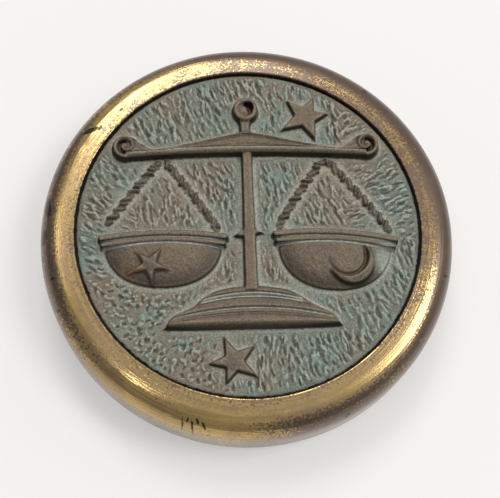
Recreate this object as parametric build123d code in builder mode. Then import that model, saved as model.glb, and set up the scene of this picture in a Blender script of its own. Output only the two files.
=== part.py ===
"""Round desk paperweight: a brass bullnose ring round a cast bronze plaque with a balance in relief.

Millimetres, +Z up, origin at the centre of the underside, +Y towards the top of the relief.
The stack from below: felt pad, base plate, ballast disc, packing disc, plaque. The plaque rests on a
ledge inside the ring. Three countersunk screws pass the base plate and pull the plaque's bosses down.
"""

import os
from math import cos, pi, radians, sin

from build123d import *

# ---- driving dimensions ----
RING_RADIUS = 50.0
RING_TOP = 16.6
BORE_RADIUS = 41.25
LAND_WIDTH = 1.0
SHOULDER_DROP = 9.0
SHOULDER_POWER = 3.13
RING_BOTTOM_ROUND = 0.9

FELT_PROUD = 0.6
FELT_THICKNESS = 1.8
BASE_THICKNESS = 2.4
REBATE_RADIUS = 46.0
CAVITY_RADIUS = 43.5
LEDGE_RADIUS = 37.5
LEDGE_THICKNESS = 2.6

PLAQUE_GAP = 0.45
PLAQUE_RECESS = 0.7
PLAQUE_THICKNESS = 3.6
PLAQUE_EDGE_BEVEL = 0.3
BEDDING_DEPTH = 2.9

SCREW_COUNT = 3
SCREW_CIRCLE = 27.0
SCREW_RADIUS = 2.0
SCREW_HEAD_RADIUS = 3.8
SCREW_HEAD_HEIGHT = 2.2
SCREW_GRIP_IN_BOSS = 4.2
SLOT_WIDTH = 1.0
SLOT_DEPTH = 0.9
BOSS_RADIUS = 4.0
SCREW_CLEARANCE = 0.25

# ---- levels that follow from them ----
BASE_BOTTOM = FELT_THICKNESS
BASE_TOP = BASE_BOTTOM + BASE_THICKNESS
PLAQUE_TOP = RING_TOP - PLAQUE_RECESS
PLAQUE_BACK = PLAQUE_TOP - PLAQUE_THICKNESS
LEDGE_BOTTOM = PLAQUE_BACK - LEDGE_THICKNESS
BALLAST_TOP = LEDGE_BOTTOM - 0.4
BOSS_BOTTOM = BALLAST_TOP + 0.3
PLAQUE_RADIUS = BORE_RADIUS - PLAQUE_GAP

# ---- relief dimensions, all measured from the centre of the plaque ----
BEAM_HEIGHT = 2.4
BEAM_HALF = 29.4
BEAM_PEAK_Y = 24.8
RIB_WIDTH = 1.5
VOLUTE_Y = 20.9
VOLUTE_RADIUS = 2.4
VOLUTE_TUBE = 0.85
FINIAL_Y = 31.0
FINIAL_RADIUS = 2.3
FINIAL_TUBE = 0.95
FINIAL_BALL = 1.5
PILLAR_HEIGHT = 1.8
PILLAR_WIDTH = 2.9
PILLAR_TOP_Y = 19.0
PILLAR_FOOT_Y = -16.0
PILLAR_ROUND = 0.9
FOOT_TIERS = (  # lower edge y, half width, rise of the arch, height above the ground
    (-17.3, 10.0, 2.1, 1.4),
    (-20.3, 13.6, 3.4, 1.9),
    (-24.9, 19.5, 4.4, 2.5),
)
TIER_ROUND = 0.5
BOWL_BULGE = 2.6
LEFT_BOWL = (-20.3, -4.3, 14.5, 10.8, 0.0)  # x, y, half width, depth, tilt in degrees
RIGHT_BOWL = (20.2, -4.6, 14.2, 11.6, -4.0)
BAND_WIDTH = 1.6
BAND_DROP = 2.0
ROPE_BEAD = 0.95
ROPE_PITCH = 1.6
ROPES = (  # end at the beam, end at the bowl
    ((-21.5, 17.0), (-33.0, 1.8)),
    ((-19.3, 17.0), (-7.8, 1.0)),
    ((18.0, 17.0), (7.3, 1.0)),
    ((20.2, 17.0), (33.2, -0.6)),
)
STAR_WAIST = 0.42
STAR_HEIGHT = 1.2
TOP_STAR = (14.9, 28.7, 7.1, 70.0)  # x, y, tip radius, bearing of one tip in degrees
LOW_STAR = (-4.5, -32.6, 6.7, 37.0)
BOWL_STAR = (-23.4, -10.0, 5.2, 58.0)
CRESCENT_OUTER = (23.7, -9.9, 5.4)  # x, y, radius
CRESCENT_INNER = (22.7, -8.3, 4.75)


def superellipse(rx, rz, power, steps):
    """Points of the shoulder curve from the vertical wall to the flat land, centred on its own centre."""
    angles = [0.5 * pi * step / steps for step in range(steps + 1)]
    return [(rx * cos(a) ** (2 / power), rz * sin(a) ** (2 / power)) for a in angles]


def star_points(tip_radius, tip_angle):
    """The ten corners of a five-pointed star with one tip at the given angle in degrees."""
    corners = []
    for step in range(10):
        radius = tip_radius if step % 2 == 0 else tip_radius * STAR_WAIST
        angle = radians(tip_angle + 36 * step)
        corners.append((radius * cos(angle), radius * sin(angle)))
    return corners


def screw_places():
    """The three screw centres, one of them towards the top of the relief."""
    return PolarLocations(SCREW_CIRCLE, SCREW_COUNT, start_angle=90)


# ---- rim ring ----
def make_rim_ring():
    """Bullnose ring: round shoulder outside, and bore, ledge, cavity and rebate inside."""
    land_outer = BORE_RADIUS + LAND_WIDTH
    wall_top = RING_TOP - SHOULDER_DROP
    curve = superellipse(RING_RADIUS - land_outer, SHOULDER_DROP, SHOULDER_POWER, 12)
    shoulder = [(land_outer + x, wall_top + z) for x, z in curve]
    with BuildPart() as rim_ring:
        with BuildSketch(Plane.XZ):
            with BuildLine():
                Line((RING_RADIUS, FELT_PROUD), (RING_RADIUS, wall_top))
                Spline(*shoulder, tangents=[(0, 1), (-1, 0)])
                Polyline(
                    (land_outer, RING_TOP),
                    (BORE_RADIUS, RING_TOP),
                    (BORE_RADIUS, PLAQUE_BACK),
                    (LEDGE_RADIUS, PLAQUE_BACK),
                    (LEDGE_RADIUS, LEDGE_BOTTOM),
                    (CAVITY_RADIUS, LEDGE_BOTTOM),
                    (CAVITY_RADIUS, BASE_TOP),
                    (REBATE_RADIUS, BASE_TOP),
                    (REBATE_RADIUS, FELT_PROUD),
                    (RING_RADIUS, FELT_PROUD),
                )
            make_face()
        revolve(axis=Axis.Z)
        bottom = rim_ring.edges().group_by(Axis.Z)[0].sort_by(SortBy.LENGTH)[-1]
        fillet(bottom, RING_BOTTOM_ROUND)
    rim_ring.part.label = "rim_ring"
    export_step(rim_ring.part, "parts/rim_ring.step")


# ---- relief plaque ----
def half_ellipse(x, y, half_width, rise):
    """Sketch outline of the upper half of an ellipse standing on the line at height y."""
    with BuildLine() as edge:
        EllipticalCenterArc((x, y), half_width, rise, start_angle=0, arc_size=180)
        Line((x - half_width, y), (x + half_width, y))
    make_face(edge.line)


def add_plaque_body():
    """Disc with a bevelled edge, and three tapped bosses on its back."""
    with Locations((0, 0, PLAQUE_BACK)):
        Cylinder(PLAQUE_RADIUS, PLAQUE_THICKNESS, align=(Align.CENTER, Align.CENTER, Align.MIN))
    chamfer(faces().sort_by(Axis.Z)[-1].edges(), PLAQUE_EDGE_BEVEL)
    with BuildSketch(Plane.XY.offset(BOSS_BOTTOM)) as outline:
        with screw_places():
            Circle(BOSS_RADIUS)
    extrude(outline.sketch, amount=PLAQUE_BACK - BOSS_BOTTOM)
    with BuildSketch(Plane.XY.offset(BOSS_BOTTOM)) as outline:
        with screw_places():
            Circle(SCREW_RADIUS)
    extrude(outline.sketch, amount=SCREW_GRIP_IN_BOSS + SCREW_CLEARANCE, mode=Mode.SUBTRACT)


def add_beam():
    """Arched beam with a raised rib along it, a volute at each end and a ring finial on a neck."""
    with BuildSketch(Plane.XY.offset(PLAQUE_TOP)) as outline:
        with BuildLine():
            ThreePointArc((-BEAM_HALF, 17.9), (0, 18.7), (BEAM_HALF, 17.9))
            Line((BEAM_HALF, 17.9), (BEAM_HALF, 23.2))
            Spline((BEAM_HALF, 23.2), (23, 20.4), (12, 22.2), (0, BEAM_PEAK_Y))
            Spline((0, BEAM_PEAK_Y), (-12, 22.2), (-23, 20.4), (-BEAM_HALF, 23.2))
            Line((-BEAM_HALF, 23.2), (-BEAM_HALF, 17.9))
        make_face()
    extrude(outline.sketch, amount=BEAM_HEIGHT * 0.65)
    with BuildSketch(Plane.XY.offset(PLAQUE_TOP)) as outline:
        with BuildLine():
            rib = ThreePointArc((-BEAM_HALF, 18.9), (0, 20.2), (BEAM_HALF, 18.9))
        SlotArc(rib, RIB_WIDTH)
    extrude(outline.sketch, amount=BEAM_HEIGHT)
    for side in (-1, 1):
        with Locations((side * BEAM_HALF, VOLUTE_Y, PLAQUE_TOP + BEAM_HEIGHT - VOLUTE_TUBE)):
            Torus(VOLUTE_RADIUS, VOLUTE_TUBE)
        with BuildSketch(Plane.XY.offset(PLAQUE_TOP)) as outline:
            with Locations((side * BEAM_HALF, VOLUTE_Y)):
                Circle(VOLUTE_RADIUS + 0.5)
        extrude(outline.sketch, amount=BEAM_HEIGHT - VOLUTE_TUBE)
        with Locations((side * BEAM_HALF, VOLUTE_Y + 0.5, PLAQUE_TOP + BEAM_HEIGHT - 1)):
            Sphere(1.0)


def add_finial():
    """Ring with a ball in it on a short neck above the middle of the beam."""
    with BuildSketch(Plane.XY.offset(PLAQUE_TOP)) as outline:
        with Locations((0, FINIAL_Y)):
            Circle(FINIAL_RADIUS + 0.3)
        with BuildLine():
            Polyline((-2.3, 29.2), (-1.3, 24.2), (1.3, 24.2), (2.3, 29.2), (-2.3, 29.2))
        make_face()
    web_height = 0.5 * BEAM_HEIGHT
    extrude(outline.sketch, amount=web_height)
    with Locations((0, FINIAL_Y, PLAQUE_TOP + web_height)):
        Torus(FINIAL_RADIUS, FINIAL_TUBE)
    with Locations((-0.4 * FINIAL_BALL, FINIAL_Y, PLAQUE_TOP + 0.7)):
        Sphere(FINIAL_BALL)


def add_pillar():
    """Straight pillar with a pointed lug on each side."""
    with BuildSketch(Plane.XY.offset(PLAQUE_TOP)) as outline:
        with Locations((0, 0.5 * (PILLAR_TOP_Y + PILLAR_FOOT_Y))):
            Rectangle(PILLAR_WIDTH, PILLAR_TOP_Y - PILLAR_FOOT_Y)
    pillar = extrude(outline.sketch, amount=PILLAR_HEIGHT)
    fillet(pillar.faces().sort_by(Axis.Z)[-1].edges().filter_by(Axis.Y), PILLAR_ROUND)
    with BuildSketch(Plane.XY.offset(PLAQUE_TOP)) as outline:
        with BuildLine():
            Polyline((-3.8, -2.1), (-1, -0.4), (1, -0.4), (3.8, -1.4), (1, -2.9), (-1, -3.1), (-3.8, -2.1))
        make_face()
    extrude(outline.sketch, amount=PILLAR_HEIGHT * 0.7)


def add_foot():
    """Stepped foot of three tiers, each a half ellipse in outline."""
    for y, half_width, rise, height in FOOT_TIERS:
        with BuildSketch(Plane.XY.offset(PLAQUE_TOP)) as outline:
            half_ellipse(0, y, half_width, rise)
        tier = extrude(outline.sketch, amount=height)
        fillet(tier.faces().sort_by(Axis.Z)[-1].edges(), TIER_ROUND)


def add_bowl(x, y, half_width, depth, tilt):
    """Round-bottomed bowl with a rim of two rolled bands, turned by the tilt in degrees."""
    place = Location((x, y), tilt)
    with BuildSketch(Plane.XY.offset(PLAQUE_TOP)) as outline:
        with BuildLine() as edge:
            EllipticalCenterArc((0, 0), half_width - 1, depth, start_angle=180, arc_size=180)
            Line((half_width - 1, 0), (1 - half_width, 0))
        with Locations(place):
            add(make_face(edge.line, mode=Mode.PRIVATE))
    ball_radius = (half_width**2 + BOWL_BULGE**2) / (2 * BOWL_BULGE)
    ball = Pos(x, y, PLAQUE_TOP + BOWL_BULGE - ball_radius) * Sphere(ball_radius, mode=Mode.PRIVATE)
    add(extrude(outline.sketch, amount=BOWL_BULGE, mode=Mode.PRIVATE) & ball)
    for drop, shrink in ((0.0, 0.0), (BAND_DROP, 0.6)):
        half = half_width - shrink
        with BuildSketch(Plane.XY.offset(PLAQUE_TOP)) as outline:
            with BuildLine():
                band = ThreePointArc((-half, 1.5 - drop), (0, 2.7 - drop), (half, 1.5 - drop))
            with Locations(place):
                SlotArc(band, BAND_WIDTH)
        extrude(outline.sketch, amount=BOWL_BULGE - 0.2)


def add_rope(start, end):
    """Row of overlapping beads from the beam down to the edge of a bowl."""
    length = ((end[0] - start[0]) ** 2 + (end[1] - start[1]) ** 2) ** 0.5
    count = round(length / ROPE_PITCH)
    for step in range(count + 1):
        share = step / count
        x = start[0] + share * (end[0] - start[0])
        y = start[1] + share * (end[1] - start[1])
        with Locations((x, y, PLAQUE_TOP + 0.25)):
            Sphere(ROPE_BEAD)


def add_star(x, y, tip_radius, tip_angle, height):
    """Raised star with slightly sloping sides."""
    with BuildSketch(Plane.XY.offset(PLAQUE_TOP)) as outline:
        with Locations((x, y)):
            Polygon(*star_points(tip_radius, tip_angle), align=None)
    extrude(outline.sketch, amount=height)


def add_crescent():
    """Crescent on the right bowl, its horns pointing up and to the left."""
    with BuildSketch(Plane.XY.offset(PLAQUE_TOP)) as outline:
        with Locations(CRESCENT_OUTER[:2]):
            Circle(CRESCENT_OUTER[2])
        with Locations(CRESCENT_INNER[:2]):
            Circle(CRESCENT_INNER[2], mode=Mode.SUBTRACT)
    extrude(outline.sketch, amount=BOWL_BULGE + 0.5)


def make_relief_plaque():
    """The plaque with all of its relief, one casting."""
    with BuildPart() as relief_plaque:
        add_plaque_body()
        add_beam()
        add_finial()
        add_pillar()
        add_foot()
        add_bowl(*LEFT_BOWL)
        add_bowl(*RIGHT_BOWL)
        for rope in ROPES:
            add_rope(*rope)
        add_star(*TOP_STAR, STAR_HEIGHT)
        add_star(*LOW_STAR, STAR_HEIGHT)
        add_star(*BOWL_STAR, BOWL_BULGE + 0.4)
        add_crescent()
    relief_plaque.part.label = "relief_plaque"
    export_step(relief_plaque.part, "parts/relief_plaque.step")


# ---- pieces under and around the plaque ----
def make_seam_bedding():
    """Thin ring of black mastic in the gap between the plaque and the bore."""
    with BuildPart() as seam_bedding:
        with BuildSketch(Plane.XY.offset(PLAQUE_BACK)):
            Circle(BORE_RADIUS)
            Circle(PLAQUE_RADIUS, mode=Mode.SUBTRACT)
        extrude(amount=BEDDING_DEPTH)
    seam_bedding.part.label = "seam_bedding"
    export_step(seam_bedding.part, "parts/seam_bedding.step")


def make_packing_disc():
    """Cork disc between the ballast and the back of the plaque, cut out for the bosses."""
    with BuildPart() as packing_disc:
        with BuildSketch(Plane.XY.offset(BALLAST_TOP)):
            Circle(LEDGE_RADIUS - 0.5)
            with screw_places():
                Circle(BOSS_RADIUS + SCREW_CLEARANCE, mode=Mode.SUBTRACT)
        extrude(amount=PLAQUE_BACK - BALLAST_TOP)
    packing_disc.part.label = "packing_disc"
    export_step(packing_disc.part, "parts/packing_disc.step")


def make_ballast_disc():
    """Iron disc that gives the paperweight its weight, drilled for the three screws."""
    with BuildPart() as ballast_disc:
        with BuildSketch(Plane.XY.offset(BASE_TOP)):
            Circle(CAVITY_RADIUS - 0.5)
            with screw_places():
                Circle(SCREW_RADIUS + 2 * SCREW_CLEARANCE, mode=Mode.SUBTRACT)
        extrude(amount=BALLAST_TOP - BASE_TOP)
    ballast_disc.part.label = "ballast_disc"
    export_step(ballast_disc.part, "parts/ballast_disc.step")


def make_base_plate():
    """Plate that closes the underside, with countersunk holes."""
    with BuildPart() as base_plate:
        with BuildSketch(Plane.XY.offset(BASE_BOTTOM)):
            Circle(REBATE_RADIUS - 0.2)
            with screw_places():
                Circle(SCREW_RADIUS + SCREW_CLEARANCE, mode=Mode.SUBTRACT)
        extrude(amount=BASE_THICKNESS)
        with BuildSketch(Plane.XY.offset(BASE_BOTTOM)) as head_outline:
            with screw_places():
                Circle(SCREW_HEAD_RADIUS)
        with BuildSketch(Plane.XY.offset(BASE_BOTTOM + SCREW_HEAD_HEIGHT)) as neck_outline:
            with screw_places():
                Circle(SCREW_RADIUS)
        heads = zip(head_outline.sketch.faces(), neck_outline.sketch.faces())
        for head, neck in heads:
            loft([head, neck], mode=Mode.SUBTRACT)
    base_plate.part.label = "base_plate"
    export_step(base_plate.part, "parts/base_plate.step")


def make_base_screws():
    """Three countersunk slotted screws, heads downwards."""
    shank_top = BOSS_BOTTOM + SCREW_GRIP_IN_BOSS
    neck = BASE_BOTTOM + SCREW_HEAD_HEIGHT
    for number, place in enumerate(screw_places().locations, start=1):
        with BuildPart() as base_screw:
            with BuildSketch(Plane.XZ):
                with BuildLine():
                    Polyline(
                        (0, BASE_BOTTOM),
                        (SCREW_HEAD_RADIUS, BASE_BOTTOM),
                        (SCREW_RADIUS, neck),
                        (SCREW_RADIUS, shank_top),
                        (0, shank_top),
                        (0, BASE_BOTTOM),
                    )
                make_face()
            revolve(axis=Axis.Z)
            with Locations((0, 0, BASE_BOTTOM)):
                Box(3 * SCREW_HEAD_RADIUS, SLOT_WIDTH, 2 * SLOT_DEPTH, mode=Mode.SUBTRACT)
        screw = base_screw.part.moved(place)
        screw.label = f"base_screw_{number}"
        export_step(screw, f"parts/base_screw_{number}.step")


def make_felt_pad():
    """Felt disc glued under the base plate; it stands a little proud of the ring."""
    with BuildPart() as felt_pad:
        Cylinder(REBATE_RADIUS - 0.5, FELT_THICKNESS, align=(Align.CENTER, Align.CENTER, Align.MIN))
    felt_pad.part.label = "felt_pad"
    export_step(felt_pad.part, "parts/felt_pad.step")


os.makedirs("parts", exist_ok=True)
make_rim_ring()
make_relief_plaque()
make_seam_bedding()
make_packing_disc()
make_ballast_disc()
make_base_plate()
make_base_screws()
make_felt_pad()
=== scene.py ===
"""Brass-rimmed paperweight with a balance in relief: looks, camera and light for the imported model.

The relief plaque with its bosses, the brass ring and the felt pad are modelled here in mesh code and
replace their CAD nodes. The other nodes keep their CAD shapes and get a material. Lengths are millimetres
in the row frame, and +Y is the top of the relief.
"""

import math

import bpy
import numpy as np
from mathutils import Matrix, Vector


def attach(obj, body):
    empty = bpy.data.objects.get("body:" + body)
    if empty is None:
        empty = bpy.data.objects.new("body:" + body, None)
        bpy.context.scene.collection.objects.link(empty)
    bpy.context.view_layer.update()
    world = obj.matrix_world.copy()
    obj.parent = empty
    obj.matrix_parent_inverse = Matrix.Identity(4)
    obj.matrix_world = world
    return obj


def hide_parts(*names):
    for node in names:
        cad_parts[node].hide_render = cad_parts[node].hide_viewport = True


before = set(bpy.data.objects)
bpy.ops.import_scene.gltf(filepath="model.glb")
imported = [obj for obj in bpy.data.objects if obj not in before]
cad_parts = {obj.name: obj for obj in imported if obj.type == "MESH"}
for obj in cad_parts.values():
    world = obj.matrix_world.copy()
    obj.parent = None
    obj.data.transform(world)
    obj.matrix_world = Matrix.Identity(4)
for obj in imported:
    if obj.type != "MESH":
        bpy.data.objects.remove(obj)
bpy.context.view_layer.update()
MM = 0.001
RANDOM = np.random.default_rng(7)

# ---- dimensions shared with the CAD model ----
RING_RADIUS = 50.0
RING_TOP = 16.6
BORE_RADIUS = 41.25
LAND_WIDTH = 1.0
SHOULDER_DROP = 9.0
SHOULDER_POWER = 3.13
RING_BOTTOM = 0.6
RING_BOTTOM_ROUND = 0.9
PLAQUE_RADIUS = 40.8
PLAQUE_TOP = 15.9
PLAQUE_BACK = 12.3
LEDGE_RADIUS = 37.5
LEDGE_BOTTOM = 9.7
CAVITY_RADIUS = 43.5
REBATE_RADIUS = 46.0
BASE_TOP = 4.2
FELT_RADIUS = 45.5
FELT_THICKNESS = 1.8
BOSS_RADIUS = 4.0
BOSS_BOTTOM = 9.6
SCREW_RADIUS = 2.0
SCREW_CIRCLE = 27.0
SCREW_ANGLES = (90, 210, 330)


# ---- small helpers ----
def ramp(low, high, value):
    """Smooth step from 0 at low to 1 at high."""
    share = np.clip((value - low) / (high - low), 0.0, 1.0)
    return share * share * (3.0 - 2.0 * share)


def make_object(name, points_mm, faces, smooth=True):
    """Mesh object from points in millimetres and lists of corner numbers."""
    mesh = bpy.data.meshes.new(name)
    mesh.from_pydata((np.asarray(points_mm) * MM).tolist(), [], faces)
    mesh.validate()
    mesh.update()
    for polygon in mesh.polygons:
        polygon.use_smooth = smooth
    piece = bpy.data.objects.new(name, mesh)
    bpy.context.scene.collection.objects.link(piece)
    return piece


def add_attribute(piece, name, values):
    """Per-vertex number that the materials read by name."""
    attribute = piece.data.attributes.new(name, "FLOAT", "POINT")
    attribute.data.foreach_set("value", np.asarray(values, dtype=np.float32))


# ---- relief drawn as a height map ----
STEP = 0.1
HALF_SIDE = 41.5
AXIS = np.arange(-HALF_SIDE, HALF_SIDE + STEP / 2, STEP)
GRID_X, GRID_Y = np.meshgrid(AXIS, AXIS)
height = np.zeros_like(GRID_X)  # millimetres above the ground of the plaque
residue = np.zeros_like(GRID_X)  # pale residue that grooves hold, 0 to 1
dull_and_shade_map = np.zeros_like(GRID_X)  # darker bronze: painted shade low on each bowl, a darker tone on the bowl bands and on the ropes
rope_map = np.zeros_like(GRID_X)  # 1 on the ropes


def blur(field, radius):
    """Gaussian blur of a map, radius in millimetres."""
    reach = int(3 * radius / STEP) + 1
    offsets = np.arange(-reach, reach + 1) * STEP
    weights = np.exp(-0.5 * (offsets / radius) ** 2)
    weights /= weights.sum()
    padded = np.pad(field, reach, mode="edge")
    rows = sum(w * padded[:, k : k + field.shape[1]] for k, w in enumerate(weights))
    return sum(w * rows[k : k + field.shape[0], :] for k, w in enumerate(weights))


def window(x_low, x_high, y_low, y_high):
    """Index ranges of the grid inside a box."""
    columns = np.clip(np.searchsorted(AXIS, [x_low, x_high]), 0, len(AXIS))
    rows = np.clip(np.searchsorted(AXIS, [y_low, y_high]), 0, len(AXIS))
    return slice(rows[0], rows[1]), slice(columns[0], columns[1])


def smooth_path(points, steps=14):
    """Catmull-Rom curve through a few points."""
    nodes = np.asarray(points, dtype=float)
    nodes = np.vstack([2 * nodes[0] - nodes[1], nodes, 2 * nodes[-1] - nodes[-2]])
    share = np.arange(steps)[:, None] / steps
    curve = []
    for a, b, c, d in zip(nodes[:-3], nodes[1:-2], nodes[2:-1], nodes[3:]):
        linear = (c - a) * share
        square = (2 * a - 5 * b + 4 * c - d) * share**2
        cube = (3 * b - a - 3 * c + d) * share**3
        curve.append(0.5 * (2 * b + linear + square + cube))
    curve.append(nodes[-2][None])
    return np.vstack(curve)


def near_path(path, reach):
    """Window round a path, and there: distance to it, side of it (left is positive) and length along it."""
    low, high = path.min(0) - reach, path.max(0) + reach
    place = window(low[0], high[0], low[1], high[1])
    x, y = GRID_X[place], GRID_Y[place]
    distance = np.full(x.shape, 1e3)
    side = np.zeros(x.shape)
    along = np.zeros(x.shape)
    passed = 0.0
    for start, end in zip(path[:-1], path[1:]):
        step = end - start
        length = math.hypot(*step)
        share = np.clip(((x - start[0]) * step[0] + (y - start[1]) * step[1]) / length**2, 0, 1)
        off_x = x - start[0] - share * step[0]
        off_y = y - start[1] - share * step[1]
        gap = np.hypot(off_x, off_y)
        nearer = gap < distance
        distance = np.where(nearer, gap, distance)
        side = np.where(nearer, step[0] * off_y - step[1] * off_x, side)
        along = np.where(nearer, passed + share * length, along)
        passed += length
    return place, distance, np.sign(side) * distance, along


def raise_to(place, values):
    """Lifts the height map to at least these values inside the window."""
    height[place] = np.maximum(height[place], values)


def add_ridge(path, half_width, top, power=2.2, foot=0.0, swell=0.0):
    """Rounded ridge along a path, wider by the swell in the middle of its length."""
    place, distance, _, along = near_path(path, half_width * (1 + swell) + 0.3)
    width = half_width * (1 + swell * np.sin(math.pi * along / along.max()))
    share = np.clip(distance / width, 0, 1)
    values = foot + (top - foot) * (1 - share**power) ** (1 / power)
    raise_to(place, np.where(distance < width, values, 0))


def cut_line(path, half_width, depth, paleness=1.0):
    """Narrow groove along a path, which holds pale residue."""
    place, distance, _, _ = near_path(path, 3 * half_width)
    profile = np.exp(-((distance / half_width) ** 2))
    height[place] = np.maximum(height[place] - depth * profile, 0)
    residue[place] = np.maximum(residue[place], paleness * profile)


def inside_polygon(corners, reach=0.5):
    """Window round a polygon, and there the distance to its outline, positive inside."""
    loop = np.vstack([corners, corners[:1]])
    place, distance, _, _ = near_path(loop, reach)
    x, y = GRID_X[place], GRID_Y[place]
    inside = np.zeros(x.shape, dtype=bool)
    for (x0, y0), (x1, y1) in zip(loop[:-1], loop[1:]):
        crosses = (y0 > y) != (y1 > y)
        where = x0 + (y - y0) * (x1 - x0) / (y1 - y0 if y1 != y0 else 1e-9)
        inside ^= crosses & (x < where)
    return place, np.where(inside, distance, -distance)


# ---- the parts of the relief ----
BEAM_END = 29.3
BEAM_ROLL_HEIGHT = 2.7
BEAM_FACE_HEIGHT = 2.15


def beam_edge(x):
    """Upper outline of the beam: a low gable with hollow slopes that lifts again into the volutes."""
    reach = np.sqrt(x**2 + 1.5**2) - 1.5
    gable = 19.9 + 4.5 * np.clip(1 - reach / 21.0, 0, 1) ** 1.15
    lift = 3.0 * ramp(22.5, 28.0, np.abs(x))
    return gable + lift


def beam_foot(x):
    """Lower outline of the beam."""
    return 18.3 - (np.abs(x) / 28.0) ** 2


def beam_groove(x):
    """Line between the lower roll of the beam and the flat face above it."""
    return beam_foot(x) + 1.8 - 0.15 * ramp(8.0, 24.0, np.abs(x))


def make_beam():
    """Beam with a rolled lower edge, a flat sloping face above it and a lip along the top edge."""
    place = window(-BEAM_END, BEAM_END, 16.0, 26.0)
    x, y = GRID_X[place], GRID_Y[place]
    top, foot, groove = beam_edge(x), beam_foot(x), beam_groove(x)
    face = BEAM_FACE_HEIGHT - 0.75 * np.clip((y - groove) / np.maximum(top - groove, 0.5), 0, 1)
    roll_share = np.clip((y - foot) / (groove - foot), 0, 1)
    crest = 0.75
    roll = BEAM_ROLL_HEIGHT * np.sqrt(np.clip(1 - (1 - roll_share / crest) ** 2, 0, 1))
    behind_crest = BEAM_ROLL_HEIGHT - 0.3 * ramp(crest, 1.0, roll_share)
    roll = np.where(roll_share > crest, behind_crest, roll)
    body = np.where(y < groove, roll, face) * ramp(0.0, 0.22, top - y)
    raise_to(place, np.where(y > foot, body, 0))
    span = np.linspace(-BEAM_END, BEAM_END, 61)
    groove_line = np.stack([span, beam_groove(span)], 1)
    middle = np.stack([span, beam_groove(span) + 0.3 * (beam_edge(span) - beam_groove(span))], 1)
    lip = np.stack([span, beam_edge(span) - 0.3], 1)
    add_ridge(middle[12:49], 0.26, 2.35, foot=1.7, swell=0.3)
    add_ridge(lip[4:57], 0.3, 2.0, foot=0.9)
    cut_line(groove_line, 0.22, depth=0.6)
    cut_line(middle[13:48] + np.array([0.0, 0.36]), 0.12, depth=0.35, paleness=0.2)
    cut_line(lip[12:49] - np.array([0.0, 0.45]), 0.16, depth=0.4, paleness=0.4)


def ball(gap, radius, foot, rise):
    """Height of a domed ball by the distance from its middle."""
    return np.where(gap < radius, foot + rise * np.sqrt(np.clip(1 - (gap / radius) ** 2, 0, 1)), 0)


def make_volute(side):
    """Spiral ridge round a small eye, which the end of the beam curls into."""
    centre = np.array([side * BEAM_END, 20.7])
    place = window(centre[0] - 4, centre[0] + 4, 16.0, 25.0)
    reach = np.hypot(GRID_X[place] - centre[0], GRID_Y[place] - centre[1])
    raise_to(place, ramp(3.5, 2.9, reach))
    turn = np.linspace(0, 2.9 * math.pi, 80)
    radius = 2.95 - 0.285 * turn
    bearing = -0.5 * math.pi + side * turn
    spiral = centre + np.stack([radius * np.cos(bearing), radius * np.sin(bearing)], 1)
    for first, last, half_width, top in ((0, 34, 0.78, 2.75), (30, 58, 0.6, 2.65), (54, 80, 0.5, 2.5)):
        add_ridge(spiral[first:last], half_width, top, foot=0.5)
    eye = window(centre[0] - 1, centre[0] + 1, centre[1] - 1, centre[1] + 1)
    gap = np.hypot(GRID_X[eye] - centre[0], GRID_Y[eye] - centre[1])
    raise_to(eye, ball(gap, 0.6, 1.6, 0.8))
    cut_line(spiral[20:70] * 0.82 + centre * 0.18, 0.13, depth=0.3, paleness=0.35)


def make_finial():
    """Ball cupped by a ring, with a crescent-shaped recess to its right, on a tapering neck."""
    neck = smooth_path([(-2.4, 28.8), (-1.7, 26.4), (-1.4, 24.0), (1.2, 24.0), (1.3, 26.4), (2.4, 28.8)])
    place, depth = inside_polygon(neck)
    raise_to(place, 1.6 * ramp(0.0, 0.6, depth))
    turn = np.linspace(0, 2 * math.pi, 49)
    hoop = np.stack([2.35 * np.cos(turn), 30.3 + 2.45 * np.sin(turn)], 1)
    add_ridge(hoop, 0.9, 2.5, foot=0.6)
    place = window(-3, 3, 27.5, 33)
    gap = np.hypot(GRID_X[place] + 0.7, GRID_Y[place] - 30.0)
    raise_to(place, ball(gap, 1.9, 1.2, 1.4))
    recess = np.hypot(GRID_X[place] - 0.65, GRID_Y[place] - 31.0)
    scooped = 1.5 * ramp(1.35, 0.95, recess) * ramp(1.1, 1.45, gap)
    height[place] = np.maximum(height[place] - scooped, 0.4 * np.sign(height[place]))


def pillar_half(y, at_top=1.4):
    """Half width of the pillar, wider towards the foot."""
    return at_top + 0.3 * ramp(18, -15, y)


def make_pillar():
    """Slightly tapering pillar, pale along its sides, with a pointed lug each side; the paler right side is
    pale residue and a painted highlight.
    """
    place = window(-3.5, 3.5, -16, 19)
    x, y = GRID_X[place], GRID_Y[place]
    half = pillar_half(y)
    crown = 1.85 - 0.3 * (x / half) ** 2
    raise_to(place, crown * ramp(0.0, 0.32, half - np.abs(x)))
    below_lugs, above_lugs = (-13.8, -3.9), (0.1, 16.2)
    for foot_y, head_y in (below_lugs, above_lugs):
        rise = np.linspace(foot_y, head_y, 21)
        # pale residue on both sides; the stronger right-hand line is also a painted highlight
        for side, paleness in ((-1, 0.45), (1, 0.9)):
            edge = side * pillar_half(rise, 1.42)
            cut_line(np.stack([edge, rise], 1), 0.24, depth=0.05, paleness=paleness)
    for tip, tip_y in ((-3.9, -2.6), (4.0, -1.9)):
        root = math.copysign(0.8, tip)
        upper_side = [(root, -0.3), (tip * 0.55, -1.1), (tip, tip_y)]
        lower_side = [(tip * 0.5, tip_y - 0.5), (root, -3.4)]
        place, depth = inside_polygon(smooth_path(upper_side + lower_side))
        raise_to(place, 1.5 * ramp(0.0, 0.5, depth))


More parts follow.
